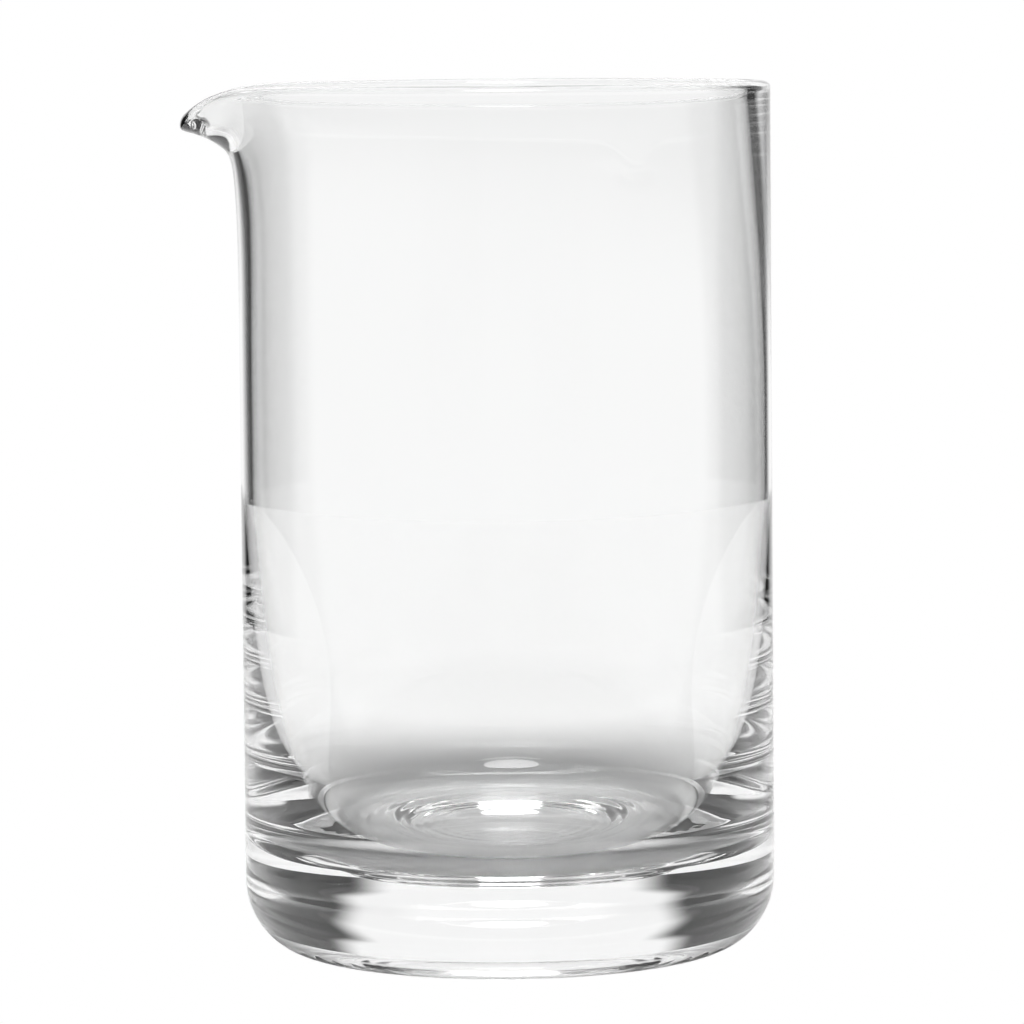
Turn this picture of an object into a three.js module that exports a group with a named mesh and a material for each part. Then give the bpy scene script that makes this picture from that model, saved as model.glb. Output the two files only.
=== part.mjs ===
// A straight-sided bar mixing glass: one seamless piece of clear soda-lime glass with a heavy
// rounded base, a wall that thins towards mid-height, a fire-polished rim and one pulled pouring lip.
// Millimetres, +Z up. The glass stands on z = 0, its axis is Z and the lip points along -X.
import * as THREE from "three";

// Outside
const OUTER_RADIUS = 45;
const HEIGHT = 147;
const CORNER_REACH = 11.5; // how far the rounded base corner runs in towards the axis
const CORNER_RISE = 12.7; // how far it runs up the wall

// Inside: a disc-shaped floor with a shallow dish, and round it one superellipse up into the wall
const FLOOR_HEIGHT = 15.5; // where the superellipse would meet the axis
const SWEEP_TOP = 78; // height at which the sweep has become the plain wall
const SWEEP_FLATNESS = 9; // exponent over the radius: high keeps the floor flat and the corner tight
const SWEEP_SLACK = 1.35; // exponent over the height: low lets the wall thicken slowly downwards
const DISC_EDGE = 28.6; // radius of the ridge where the disc starts
const DISC_SLOPE = 0.1; // fall per millimetre from the ridge to the dish
const DISH_OUTER = 22.6; // the step down into the dish, from this radius
const DISH_INNER = 16.8; // to this one
const DISH_DEPTH = 1.9;

// Wall: thinnest at mid-height, swelling to the rim, and a little eccentric
const THIN_WALL = 1.25; // opposite the lip
const THIN_WALL_EXTRA = 0.6; // added on the lip's side
const SWELL_START = 92;
const SWELL_POWER = 1.7;
const RIM_SWELL = 2.65; // opposite the lip
const RIM_SWELL_LOSS = 1.6; // taken off on the lip's side
const RIM_BEAD = 0.45; // the last thickening, just under the rim, which fades away opposite the lip
const RIM_BEAD_REACH = 4.5;
const RIM_BEAD_FADE = 4;
const RIM_ROUNDING = 1.1; // height of the rounded top of the rim

// Pouring lip: the wall near the rim bends outwards, most at the lip's middle
const LIP_LENGTH = 10.5; // distance below the rim at which the wall turns outwards
const LIP_KNEE_SHARPNESS = 9;
const LIP_ANGLE = 57; // degrees that the wall turns through at the knee
const FLARE_ANGLE = 11.5; // degrees of gentle flare that build up above the bend's start
const BEND_LENGTH = 38; // length of wall that the bend and the flare take up
const LIP_HALF_WIDTH = 14.5; // degrees round the axis
const LIP_SIDE_SHARPNESS = 3;
const LIP_THINNING = 0.9; // the trough is thinner than the wall it was pulled from
const THINNING_CENTRE = 5.5;
const THINNING_REACH = 3;

// Facets
const SEGMENTS = 72;
const CORNER_ROWS = 5;
const RIM_ROWS = 8;
const SWEEP_ROWS = 11;
const DISH_ROWS = 4;
const BEND_STEPS = 48;
// Rows through the lip as distances below the rim, closest together where the wall bends most.
const LIP_ROWS = [BEND_LENGTH, 25, 18, 14, 12, 10.8, 9.8, 8.6, 6.5, 4];

const LIP_DIRECTION = Math.PI; // the lip points along -X
const QUARTER_TURN = Math.PI / 2;

// 1 on the lip's side of the glass, 0 opposite, smooth between.
function lipSide(angle) {
  return (1 + Math.cos(angle - LIP_DIRECTION)) / 2;
}

// 1 across the lip's middle, falling to 0 at its sides.
function lipWeight(angle) {
  const turn = Math.atan2(Math.sin(angle - LIP_DIRECTION), Math.cos(angle - LIP_DIRECTION));
  const share = Math.abs(THREE.MathUtils.radToDeg(turn)) / LIP_HALF_WIDTH;
  return 1 / (1 + share ** LIP_SIDE_SHARPNESS);
}

function wallThickness(height, angle) {
  const side = lipSide(angle);
  const rise = Math.max(0, (height - SWELL_START) / (HEIGHT - SWELL_START));
  const swell = (RIM_SWELL - RIM_SWELL_LOSS * side) * rise ** SWELL_POWER;
  const fromTrough = (HEIGHT - height - THINNING_CENTRE) / THINNING_REACH;
  const thinning = LIP_THINNING * lipWeight(angle) * Math.exp(-(fromTrough ** 2));
  const bead = RIM_BEAD * (1 - (1 - side) ** RIM_BEAD_FADE) * Math.exp((height - HEIGHT) / RIM_BEAD_REACH);
  return THIN_WALL + THIN_WALL_EXTRA * side + swell + bead - thinning;
}

// The direction of the wall, in radians from vertical, at a distance below the rim.
function wallLean(below, weight) {
  const knee = LIP_ANGLE / (1 + (below / LIP_LENGTH) ** LIP_KNEE_SHARPNESS);
  const flare = FLARE_ANGLE * (1 - below / BEND_LENGTH) ** 2;
  return THREE.MathUtils.degToRad(weight * (knee + flare));
}

// A point of the upper wall: the middle of the wall is bent without stretching, and the
// surfaces stay half a thickness to each side. depth is 0 on the outside and 1 on the inside.
function bentWall(height, depth, angle) {
  const thickness = wallThickness(height, angle);
  const weight = lipWeight(angle);
  const start = HEIGHT - BEND_LENGTH;
  const step = (height - start) / BEND_STEPS;
  let radius = OUTER_RADIUS - thickness / 2;
  let level = start;
  for (let i = 0; i < BEND_STEPS; i++) {
    const lean = wallLean(BEND_LENGTH - (i + 0.5) * step, weight);
    radius += Math.sin(lean) * step;
    level += Math.cos(lean) * step;
  }
  const lean = wallLean(HEIGHT - height, weight);
  const offset = (0.5 - depth) * thickness;
  return [radius + offset * Math.cos(lean), level - offset * Math.sin(lean)];
}

// The section as rows of functions: each gives [radius, height] at an angle round the axis.
function baseRows() {
  const rows = [() => [0, 0], () => [OUTER_RADIUS - CORNER_REACH, 0]];
  for (let i = 1; i <= CORNER_ROWS; i++) {
    const turn = (i / CORNER_ROWS) * QUARTER_TURN;
    const radius = OUTER_RADIUS - CORNER_REACH * (1 - Math.sin(turn));
    const height = CORNER_RISE * (1 - Math.cos(turn));
    rows.push(() => [radius, height]);
  }
  return rows;
}

function wallRows(depth) {
  return LIP_ROWS.map((below) => (angle) => bentWall(HEIGHT - below, depth, angle));
}

function rimRows() {
  const rows = [];
  for (let i = 0; i <= RIM_ROWS; i++) {
    const turn = (i / RIM_ROWS) * Math.PI;
    const depth = (1 - Math.cos(turn)) / 2;
    const height = HEIGHT - RIM_ROUNDING * (1 - Math.sin(turn));
    rows.push((angle) => bentWall(height, depth, angle));
  }
  return rows;
}

// How far the cavity's floor lies below the ridge at the disc's edge.
function dishDrop(radius) {
  const slope = DISC_SLOPE * (DISC_EDGE - Math.max(radius, DISH_OUTER));
  const step = THREE.MathUtils.smoothstep(DISH_OUTER - radius, 0, DISH_OUTER - DISH_INNER);
  return slope + DISH_DEPTH * step;
}

function cavityRows() {
  const meanBore = OUTER_RADIUS - THIN_WALL - THIN_WALL_EXTRA / 2;
  const edgeShare = DISC_EDGE / meanBore;
  const edgeTurn = Math.acos(edgeShare ** (SWEEP_FLATNESS / 2));
  const bore = (angle) => OUTER_RADIUS - wallThickness(SWEEP_TOP, angle);
  const rows = [(angle) => [OUTER_RADIUS - wallThickness(SWELL_START, angle), SWELL_START]];
  let height = SWEEP_TOP;
  for (let i = 0; i <= SWEEP_ROWS; i++) {
    const turn = (i / SWEEP_ROWS) * edgeTurn;
    const share = Math.cos(turn) ** (2 / SWEEP_FLATNESS);
    const level = SWEEP_TOP - (SWEEP_TOP - FLOOR_HEIGHT) * Math.sin(turn) ** (2 / SWEEP_SLACK);
    rows.push((angle) => [share * bore(angle), level]);
    height = level;
  }
  for (let i = 0; i <= DISH_ROWS; i++) {
    const radius = THREE.MathUtils.lerp(DISH_OUTER, DISH_INNER, i / DISH_ROWS);
    const share = (radius / DISC_EDGE) * edgeShare;
    const level = height - dishDrop(radius);
    rows.push((angle) => [share * bore(angle), level]);
  }
  rows.push(() => [0, height - dishDrop(0)]);
  return rows;
}

function glassGeometry() {
  const rows = [...baseRows(), ...wallRows(0), ...rimRows(), ...wallRows(1).reverse(), ...cavityRows()];
  // The lathe lays out the closed skin, and each of its points then moves to its place.
  const outline = rows.map((row) => new THREE.Vector2(...row(0)));
  const geometry = new THREE.LatheGeometry(outline, SEGMENTS);
  const position = geometry.getAttribute("position");
  for (let i = 0; i < position.count; i++) {
    const column = Math.floor(i / rows.length) % SEGMENTS;
    const angle = (column / SEGMENTS) * 2 * Math.PI;
    const [radius, height] = rows[i % rows.length](angle);
    position.setXYZ(i, radius * Math.cos(angle), radius * Math.sin(angle), height);
  }
  geometry.computeVertexNormals();
  return geometry;
}

const clearGlass = new THREE.MeshStandardMaterial({
  color: 0xeef2f2,
  roughness: 0.03,
  metalness: 0,
  transparent: true,
  opacity: 0.35,
});

function glassVessel() {
  const mesh = new THREE.Mesh(glassGeometry(), clearGlass);
  mesh.name = "glass_vessel";
  return mesh;
}

const mixingGlass = new THREE.Group();
mixingGlass.add(glassVessel());

export default mixingGlass;
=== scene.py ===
# A clear straight-sided mixing glass: heavy base, pulled pouring lip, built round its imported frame.
import math

import bpy
import numpy as np
from mathutils import Matrix, Vector


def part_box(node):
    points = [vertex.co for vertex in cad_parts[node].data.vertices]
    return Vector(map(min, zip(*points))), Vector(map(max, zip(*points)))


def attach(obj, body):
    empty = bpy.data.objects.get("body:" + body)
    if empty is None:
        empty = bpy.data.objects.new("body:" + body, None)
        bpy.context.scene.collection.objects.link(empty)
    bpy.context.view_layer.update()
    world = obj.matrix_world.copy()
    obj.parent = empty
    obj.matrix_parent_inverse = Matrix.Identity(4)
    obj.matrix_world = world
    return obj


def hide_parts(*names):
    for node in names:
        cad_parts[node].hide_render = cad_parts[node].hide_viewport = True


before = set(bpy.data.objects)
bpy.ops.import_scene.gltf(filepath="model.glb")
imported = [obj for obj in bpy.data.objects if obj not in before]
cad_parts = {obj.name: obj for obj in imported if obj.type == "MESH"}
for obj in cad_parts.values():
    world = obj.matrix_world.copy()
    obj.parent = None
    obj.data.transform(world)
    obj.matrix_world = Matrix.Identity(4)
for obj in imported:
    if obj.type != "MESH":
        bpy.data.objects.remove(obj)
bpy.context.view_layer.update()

MM = 0.001
NODE = "glass_vessel"

# ---------------------------------------------------------------- sizes, in millimetres unless marked
SKIN_INSET = 0.03  # keeps the smooth skin inside the box of the faceted solid
far_corner = np.array(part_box(NODE)[1]) / MM
OUTER_RADIUS = round(float(far_corner[0]), 1) - SKIN_INSET
HEIGHT = round(float(far_corner[2]), 1) - SKIN_INSET
CORNER_REACH = 11.5  # the rounded base corner, inwards and upwards
CORNER_RISE = 12.7

UNDER_HOLLOW = 0.25  # the underside is very slightly hollow, with faint rings
UNDER_RING = 0.03
UNDER_SPACING = 7.0

FLOOR_HEIGHT = 15.5  # where the sweep of the wall would end
DISC_EDGE = 28.6  # the plunger's disc: a shallow cone down to a step, then a flat dish
DISC_SLOPE = 0.1
STEP_OUTER = 22.6
STEP_INNER = 16.8
STEP_DEPTH = 1.9
RING_HEIGHT = 0.09  # fine concentric rings left on and round the step
RING_SPACING = 2.1
RING_REACH = 5.0
SWEEP_TOP = 78.0  # where the sweep has become the plain wall
SWEEP_FLATNESS = 9.0  # exponent over the radius
SWEEP_SLACK = 1.35  # exponent over the height

THIN_WALL = 1.25  # opposite the lip, at mid-height
THIN_WALL_EXTRA = 0.6  # added on the lip's side
SWELL_START = 92.0
SWELL_POWER = 1.7
RIM_SWELL = 2.65  # opposite the lip
RIM_SWELL_LOSS = 1.6  # taken off on the lip's side
RIM_ROUNDING = 1.1
RIM_BEAD = 0.45  # the last thickening, just under the rim
RIM_BEAD_REACH = 4.5
RIM_BEAD_FADE = 4

LIP_LENGTH = 10.5  # how far below the rim the wall turns outwards
LIP_KNEE_SHARPNESS = 9
LIP_ANGLE = 57.0  # degrees that the wall turns through there
FLARE_ANGLE = 11.5  # degrees of gentle flare above the bend's start
BEND_LENGTH = 38.0  # the length of wall that the bend takes up
LIP_HALF_WIDTH = 14.5  # degrees round the axis
LIP_SIDE_SHARPNESS = 3
LIP_THINNING = 0.9  # the trough is thinner than the wall it was pulled from
THINNING_CENTRE = 5.5
THINNING_REACH = 3.0
LIP_DIRECTION = math.pi

# How finely the skin is divided: round the axis, and in rows along each stretch of the section.
COLUMNS = 240
UNDER_ROWS = 32
CORNER_ROWS = 25
PLAIN_ROWS = 8
BEND_ROWS = 58
BEND_CROWDING = 0.8  # below 1 the rows crowd towards the rim
RIM_ROWS = 41
BORE_ROWS = 7
SWEEP_ROWS = 64
DISC_ROWS = 105
BEND_STEPS = 96  # steps in adding up the bent wall's direction

# ---------------------------------------------------------------- glass surface, in metres and per metre
GLASS_IOR = 1.5
CLEAR_TINT = (0.998, 1.0, 0.999, 1.0)
HAZE_TINT = (0.988, 0.99, 0.989, 1.0)
HAZE_SCALE = (40.0, 40.0, 25.0)
HAZE_DETAIL = 5.0
HAZE_START = 0.45  # of the noise's 0 to 1
HAZE_FULL = 0.75
HAZE_ROUGHNESS = 0.02
LINE_SCALE = (12.0, 12.0, 900.0)  # level lines left by forming
LINE_HEIGHT = 0.6e-6
CORD_SCALE = (45.0, 45.0, 45.0)  # slow waves in the wall
CORD_HEIGHT = 3e-6
SEED_CELLS = 55.0  # cells per metre, with a seed in each
SEED_RADIUS = 0.018  # in cells
SEED_HEIGHT = 4e-6

# ---------------------------------------------------------------- studio: angles in degrees, metres
PANEL_EDGE = 28.5  # degrees to each side of straight behind
PANEL_EDGE_LOW = 21.5  # the same near the floor
PANEL_LOW = 4.0
PANEL_HIGH = 10.0
PANEL_FADE = 4.5
PANEL_LEVEL = 0.95
CARD_END = 75.0  # a dark low card from the panel's edge to here, on each side
CARD_FADE = 5.0
CARD_LEVEL = 0.04
WALL_TOP = 2.0  # the pale low wall beyond the cards
WALL_FADE = 7.0
WALL_LEVEL = 0.9
ROOM_LEVEL = 0.05
CEILING_START = 38.0
CEILING_FULL = 65.0
CEILING_LEVEL = 0.1
KEY_HEIGHT = 71.0
KEY_RADIUS = 10.0
KEY_SOFTNESS = 0.15  # share of the radius that its edge fades over, each way
KEY_LEVEL = 28.7
FLOOR_RADIUS = 0.55
FLOOR_SIDES = 96
FLOOR_GAP = 0.0003
FLOOR_ALBEDO = 0.9

# ---------------------------------------------------------------- camera: metres and radians
CAMERA_DISTANCE = 1.0
CAMERA_HEIGHT = 0.1617
CAMERA_TILT = 0.08719
CAMERA_YAW = 0.00087
CAMERA_ROLL = -0.00885
SENSOR_WIDTH = 36
LENS_LENGTH = 208.22

GLASS_BOUNCES = 32
MIRROR_BOUNCES = 16


# ---------------------------------------------------------------- the glass skin
def turn_from_lip(angle):
    """Radians from the lip's middle, from -pi to pi."""
    return np.arctan2(np.sin(angle - LIP_DIRECTION), np.cos(angle - LIP_DIRECTION))


def lip_side(angle):
    """1 on the lip's side of the glass, 0 opposite, smooth between."""
    return (1 + np.cos(angle - LIP_DIRECTION)) / 2


def lip_weight(angle):
    """1 across the lip's middle, falling to 0 at its sides."""
    share = np.abs(np.degrees(turn_from_lip(angle))) / LIP_HALF_WIDTH
    return 1 / (1 + share**LIP_SIDE_SHARPNESS)


def wall_thickness(height, angle):
    side = lip_side(angle)
    rise = max(0.0, (height - SWELL_START) / (HEIGHT - SWELL_START))
    swell = (RIM_SWELL - RIM_SWELL_LOSS * side) * rise**SWELL_POWER
    from_trough = (HEIGHT - height - THINNING_CENTRE) / THINNING_REACH
    thinning = LIP_THINNING * lip_weight(angle) * math.exp(-(from_trough**2))
    bead = RIM_BEAD * (1 - (1 - side) ** RIM_BEAD_FADE) * math.exp((height - HEIGHT) / RIM_BEAD_REACH)
    return THIN_WALL + THIN_WALL_EXTRA * side + swell + bead - thinning


def wall_lean(below, weight):
    """The direction of the wall, in radians from upright, at a distance below the rim."""
    knee = LIP_ANGLE / (1 + (below / LIP_LENGTH) ** LIP_KNEE_SHARPNESS)
    flare = FLARE_ANGLE * (1 - below / BEND_LENGTH) ** 2
    return np.radians(weight * (knee + flare))


def bent_wall(height, depth, angle):
    """A ring of the upper wall, bent without stretching; depth is 0 on the outside and 1 on the inside."""
    thickness = wall_thickness(height, angle)
    weight = lip_weight(angle)
    start = HEIGHT - BEND_LENGTH
    step = (height - start) / BEND_STEPS
    radius = OUTER_RADIUS - thickness / 2
    level = np.full_like(angle, start)
    for i in range(BEND_STEPS):
        lean = wall_lean(BEND_LENGTH - (i + 0.5) * step, weight)
        radius = radius + np.sin(lean) * step
        level = level + np.cos(lean) * step
    lean = wall_lean(HEIGHT - height, weight)
    offset = (0.5 - depth) * thickness
    return radius + offset * np.cos(lean), level - offset * np.sin(lean)


def smooth_step(value):
    share = min(1.0, max(0.0, value))
    return share * share * (3 - 2 * share)


def disc_height(radius, edge_height):
    """The height of the cavity's floor inside the disc's edge."""
    slope = DISC_SLOPE * (DISC_EDGE - max(radius, STEP_OUTER))
    step = STEP_DEPTH * smooth_step((STEP_OUTER - radius) / (STEP_OUTER - STEP_INNER))
    near = math.exp(-(((radius - (STEP_OUTER + STEP_INNER) / 2) / RING_REACH) ** 2))
    rings = RING_HEIGHT * near * math.cos(2 * math.pi * radius / RING_SPACING)
    return edge_height - slope - step + rings


def plain_row(radius, height, angle):
    """A level circle."""
    return np.full_like(angle, radius), np.full_like(angle, height)


def section_rows(angle):
    """The rings of the skin from the centre of the underside, up the outside and down the inside."""
    rows = []
    flat = OUTER_RADIUS - CORNER_REACH
    for r in np.linspace(0.0, flat, UNDER_ROWS)[1:]:
        hollow = UNDER_HOLLOW * (1 - (r / flat) ** 2) ** 2
        rings = UNDER_RING * (1 - math.cos(2 * math.pi * r / UNDER_SPACING)) / 2 * (1 - (r / flat) ** 4)
        rows.append(plain_row(r, hollow + rings, angle))
    for t in np.linspace(0.0, math.pi / 2, CORNER_ROWS)[1:]:
        radius = OUTER_RADIUS - CORNER_REACH * (1 - math.sin(t))
        rows.append(plain_row(radius, CORNER_RISE * (1 - math.cos(t)), angle))
    for z in np.linspace(CORNER_RISE, HEIGHT - BEND_LENGTH, PLAIN_ROWS)[1:-1]:
        rows.append(plain_row(OUTER_RADIUS, z, angle))
    crowded = np.linspace(0, 1, BEND_ROWS) ** BEND_CROWDING
    bend_levels = HEIGHT - BEND_LENGTH + (BEND_LENGTH - RIM_ROUNDING) * crowded
    for z in bend_levels[:-1]:
        rows.append(bent_wall(z, 0.0, angle))
    for t in np.linspace(0.0, math.pi, RIM_ROWS):
        height = HEIGHT - RIM_ROUNDING * (1 - math.sin(t))
        rows.append(bent_wall(height, (1 - math.cos(t)) / 2, angle))
    for z in bend_levels[-2::-1]:
        rows.append(bent_wall(z, 1.0, angle))
    for z in np.linspace(HEIGHT - BEND_LENGTH, SWEEP_TOP, BORE_ROWS)[1:-1]:
        rows.append((OUTER_RADIUS - wall_thickness(z, angle), np.full_like(angle, z)))
    edge_share = DISC_EDGE / (OUTER_RADIUS - THIN_WALL - THIN_WALL_EXTRA / 2)
    edge_turn = math.acos(edge_share ** (SWEEP_FLATNESS / 2))
    bore = OUTER_RADIUS - wall_thickness(SWEEP_TOP, angle)
    for t in np.linspace(0.0, edge_turn, SWEEP_ROWS):
        share = math.cos(t) ** (2 / SWEEP_FLATNESS)
        drop = (SWEEP_TOP - FLOOR_HEIGHT) * math.sin(t) ** (2 / SWEEP_SLACK)
        rows.append((share * bore, np.full_like(angle, SWEEP_TOP - drop)))
    edge_height = SWEEP_TOP - drop
    for r in np.linspace(DISC_EDGE, 0.0, DISC_ROWS)[1:-1]:
        height = disc_height(r, edge_height)
        rows.append((r / DISC_EDGE * edge_share * bore, np.full_like(angle, height)))
    return rows


def glass_mesh():
    """One closed skin: a ring of points for each row, and a single point at each end on the axis."""
    angle = np.linspace(0, 2 * math.pi, COLUMNS, endpoint=False)
    rows = section_rows(angle)
    rings = [np.stack([r * np.cos(angle), r * np.sin(angle), z], -1) for r, z in rows]
    under_centre = np.array([[0, 0, UNDER_HOLLOW]])
    floor_centre = np.array([[0, 0, rows[-1][1][0]]])
    points = np.concatenate([under_centre] + rings + [floor_centre]) * MM
    faces = []
    last = len(points) - 1
    following = (np.arange(COLUMNS) + 1) % COLUMNS
    for j in range(COLUMNS):
        faces.append((0, 1 + int(following[j]), 1 + j))
    for i in range(len(rings) - 1):
        a = 1 + i * COLUMNS
        b = a + COLUMNS
        for j in range(COLUMNS):
            k = int(following[j])
            faces.append((a + j, a + k, b + k, b + j))
    a = 1 + (len(rings) - 1) * COLUMNS
    for j in range(COLUMNS):
        faces.append((last, a + j, a + int(following[j])))
    mesh = bpy.data.meshes.new("vessel_skin")
    mesh.from_pydata([tuple(p) for p in points], [], faces)
    mesh.validate()
    mesh.update()
    mesh.shade_smooth()
    return mesh


# ---------------------------------------------------------------- shader nodes
def node(tree, kind, **settings):
    made = tree.nodes.new(kind)
    for key, value in settings.items():
        setattr(made, key, value)
    return made


def math_node(tree, operation, *values):
    made = node(tree, "ShaderNodeMath", operation=operation)
    for i, value in enumerate(values):
        if isinstance(value, (int, float)):
            made.inputs[i].default_value = value
        else:
            tree.links.new(value, made.inputs[i])
    return made.outputs[0]


def smooth(tree, value, start, end):
    """0 before start, 1 after end, smooth between; start may be above end."""
    made = node(tree, "ShaderNodeMapRange", interpolation_type="SMOOTHSTEP")
    low_in, high_in = min(start, end), max(start, end)
    made.inputs["From Min"].default_value = low_in
    made.inputs["From Max"].default_value = high_in
    made.inputs["To Min"].default_value = 0.0 if start < end else 1.0
    made.inputs["To Max"].default_value = 1.0 if start < end else 0.0
    tree.links.new(value, made.inputs["Value"])
    return made.outputs[0]


def blend(tree, share, first, second):
    """first where share is 0, second where it is 1."""
    made = node(tree, "ShaderNodeMix", data_type="FLOAT")
    for socket, value in ((made.inputs[0], share), (made.inputs[2], first), (made.inputs[3], second)):
        if isinstance(value, (int, float)):
            socket.default_value = value
        else:
            tree.links.new(value, socket)
    return made.outputs[0]


def noise(tree, place, scale, detail=2.0):
    """Noise from 0 to 1 over a position, with a scale per metre along each axis."""
    stretch = node(tree, "ShaderNodeVectorMath", operation="MULTIPLY")
    stretch.inputs[1].default_value = scale
    tree.links.new(place, stretch.inputs[0])
    made = node(tree, "ShaderNodeTexNoise")
    made.inputs["Scale"].default_value = 1.0
    made.inputs["Detail"].default_value = detail
    tree.links.new(stretch.outputs[0], made.inputs["Vector"])
    return made.outputs["Fac"]


def bump(tree, height, distance, normal=None):
    made = node(tree, "ShaderNodeBump")
    made.inputs["Distance"].default_value = distance
    tree.links.new(height, made.inputs["Height"])
    if normal is not None:
        tree.links.new(normal, made.inputs["Normal"])
    return made.outputs["Normal"]


# ---------------------------------------------------------------- the glass
def clear_glass():
    """Fire-polished glass: faint level forming lines and cords, a few seeds and a trace of handling haze."""
    material = bpy.data.materials.new("clear_glass")
    material.use_nodes = True
    tree = material.node_tree
    shader = tree.nodes["Principled BSDF"]
    shader.inputs["IOR"].default_value = GLASS_IOR
    shader.inputs["Transmission Weight"].default_value = 1.0
    place = node(tree, "ShaderNodeTexCoord").outputs["Object"]

    lines = noise(tree, place, LINE_SCALE)
    cords = noise(tree, place, CORD_SCALE)
    cells = node(tree, "ShaderNodeTexVoronoi")
    cells.inputs["Scale"].default_value = SEED_CELLS
    tree.links.new(place, cells.inputs["Vector"])
    seeds = smooth(tree, cells.outputs["Distance"], SEED_RADIUS, 0.0)
    normal = bump(tree, cords, CORD_HEIGHT)
    normal = bump(tree, lines, LINE_HEIGHT, normal)
    normal = bump(tree, seeds, SEED_HEIGHT, normal)
    tree.links.new(normal, shader.inputs["Normal"])

    haze = smooth(tree, noise(tree, place, HAZE_SCALE, HAZE_DETAIL), HAZE_START, HAZE_FULL)
    tree.links.new(math_node(tree, "MULTIPLY", haze, HAZE_ROUGHNESS), shader.inputs["Roughness"])
    tint = node(tree, "ShaderNodeMix", data_type="RGBA")
    tree.links.new(haze, tint.inputs["Factor"])
    tint.inputs["A"].default_value = CLEAR_TINT
    tint.inputs["B"].default_value = HAZE_TINT
    tree.links.new(tint.outputs["Result"], shader.inputs["Base Color"])
    return material


# ---------------------------------------------------------------- world, floor, camera
def bearing(tree, x, y):
    """Degrees round from +Y, which is straight behind the glass, to either side."""
    turn = math_node(tree, "ARCTAN2", x, y)
    return math_node(tree, "DEGREES", math_node(tree, "ABSOLUTE", turn))


def studio_world():
    """A dim room: a white panel behind the glass, a dark card on each side of it, a pale low wall,
    a slightly lighter ceiling and a round soft key light high in front."""
    world = bpy.data.worlds.new("studio")
    bpy.context.scene.world = world
    world.use_nodes = True
    tree = world.node_tree
    tree.nodes.clear()
    direction = node(tree, "ShaderNodeTexCoord").outputs["Generated"]
    split = node(tree, "ShaderNodeSeparateXYZ")
    tree.links.new(direction, split.inputs[0])
    x, y, z = split.outputs
    azimuth = bearing(tree, x, y)
    elevation = math_node(tree, "DEGREES", math_node(tree, "ARCSINE", z))
    past_card = smooth(tree, azimuth, CARD_END - CARD_FADE, CARD_END + CARD_FADE)
    low_wall = blend(tree, past_card, CARD_LEVEL, WALL_LEVEL)
    room = blend(tree, smooth(tree, elevation, WALL_TOP, WALL_TOP + WALL_FADE), low_wall, ROOM_LEVEL)
    room = blend(tree, smooth(tree, elevation, CEILING_START, CEILING_FULL), room, CEILING_LEVEL)
    widening = smooth(tree, elevation, PANEL_LOW, PANEL_HIGH)
    panel_edge = blend(tree, widening, PANEL_EDGE_LOW, PANEL_EDGE)
    inside_panel = smooth(tree, math_node(tree, "SUBTRACT", panel_edge, azimuth), -PANEL_FADE, PANEL_FADE)
    level = blend(tree, inside_panel, room, PANEL_LEVEL)
    aim = node(tree, "ShaderNodeVectorMath", operation="DOT_PRODUCT")
    tree.links.new(direction, aim.inputs[0])
    key_height = math.radians(KEY_HEIGHT)
    aim.inputs[1].default_value = (0, -math.cos(key_height), math.sin(key_height))
    outer = math.cos(math.radians(KEY_RADIUS * (1 + KEY_SOFTNESS)))
    inner = math.cos(math.radians(KEY_RADIUS * (1 - KEY_SOFTNESS)))
    level = blend(tree, smooth(tree, aim.outputs["Value"], outer, inner), level, KEY_LEVEL)
    paths = node(tree, "ShaderNodeLightPath")
    background = node(tree, "ShaderNodeBackground")
    tree.links.new(blend(tree, paths.outputs["Is Camera Ray"], level, 1.0), background.inputs["Color"])
    output = node(tree, "ShaderNodeOutputWorld")
    tree.links.new(background.outputs[0], output.inputs[0])


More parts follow.
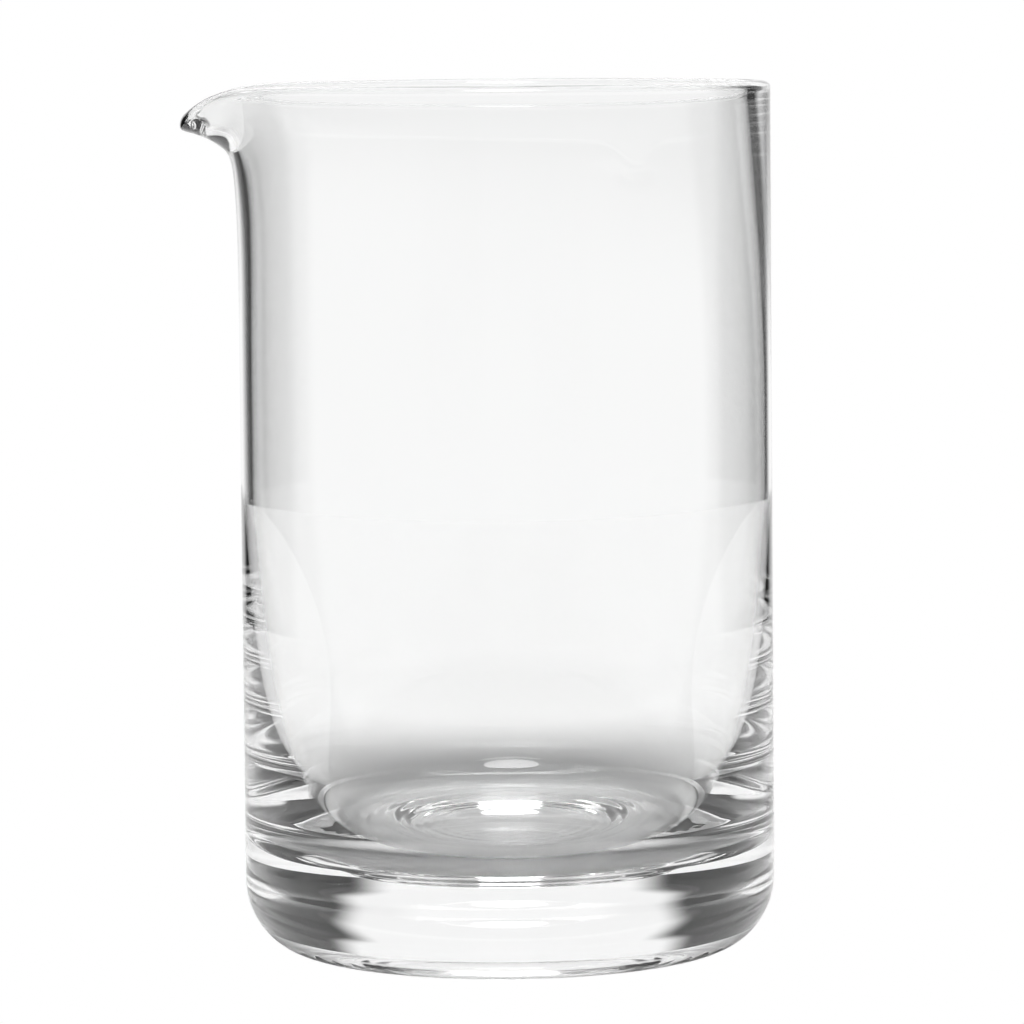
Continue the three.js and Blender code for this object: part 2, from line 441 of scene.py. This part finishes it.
def studio_floor():
    """One plain pale round sheet. It shows pure white to the camera, as the backdrop does."""
    mesh = bpy.data.meshes.new("floor")
    steps = np.linspace(0, 2 * math.pi, FLOOR_SIDES, endpoint=False)
    ring = [(FLOOR_RADIUS * math.cos(t), FLOOR_RADIUS * math.sin(t), -FLOOR_GAP) for t in steps]
    mesh.from_pydata(ring, [], [tuple(range(len(ring)))])
    floor = bpy.data.objects.new("floor", mesh)
    bpy.context.scene.collection.objects.link(floor)
    material = bpy.data.materials.new("pale_floor")
    material.use_nodes = True
    mesh.materials.append(material)
    tree = material.node_tree
    tree.nodes.clear()
    paths = node(tree, "ShaderNodeLightPath")
    paper = node(tree, "ShaderNodeBsdfDiffuse")
    paper.inputs["Color"].default_value = (FLOOR_ALBEDO, FLOOR_ALBEDO, FLOOR_ALBEDO, 1)
    white = node(tree, "ShaderNodeEmission")
    mix = node(tree, "ShaderNodeMixShader")
    tree.links.new(paths.outputs["Is Camera Ray"], mix.inputs[0])
    tree.links.new(paper.outputs[0], mix.inputs[1])
    tree.links.new(white.outputs[0], mix.inputs[2])
    output = node(tree, "ShaderNodeOutputMaterial")
    tree.links.new(mix.outputs[0], output.inputs[0])


def camera():
    """A long lens a little above the rim, looking slightly down."""
    data = bpy.data.cameras.new("camera")
    shooter = bpy.data.objects.new("camera", data)
    bpy.context.scene.collection.objects.link(shooter)
    data.sensor_width = SENSOR_WIDTH
    data.lens = LENS_LENGTH
    level = math.cos(CAMERA_TILT)
    forward = Vector((math.sin(CAMERA_YAW) * level, math.cos(CAMERA_YAW) * level, -math.sin(CAMERA_TILT)))
    level_right = forward.cross(Vector((0, 0, 1))).normalized()
    level_up = level_right.cross(forward)
    right = level_right * math.cos(CAMERA_ROLL) + level_up * math.sin(CAMERA_ROLL)
    up = -level_right * math.sin(CAMERA_ROLL) + level_up * math.cos(CAMERA_ROLL)
    matrix = Matrix((right, up, -forward)).transposed().to_4x4()
    matrix.translation = Vector((0, -CAMERA_DISTANCE, CAMERA_HEIGHT))
    shooter.matrix_world = matrix
    bpy.context.scene.camera = shooter


vessel = bpy.data.objects.new("vessel", glass_mesh())
bpy.context.scene.collection.objects.link(vessel)
vessel.data.materials.append(clear_glass())
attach(vessel, "root")
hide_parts(NODE)

studio_world()
studio_floor()
camera()
scene = bpy.context.scene
scene.view_settings.view_transform = "Standard"
scene.cycles.max_bounces = GLASS_BOUNCES
scene.cycles.transmission_bounces = GLASS_BOUNCES
scene.cycles.glossy_bounces = MIRROR_BOUNCES
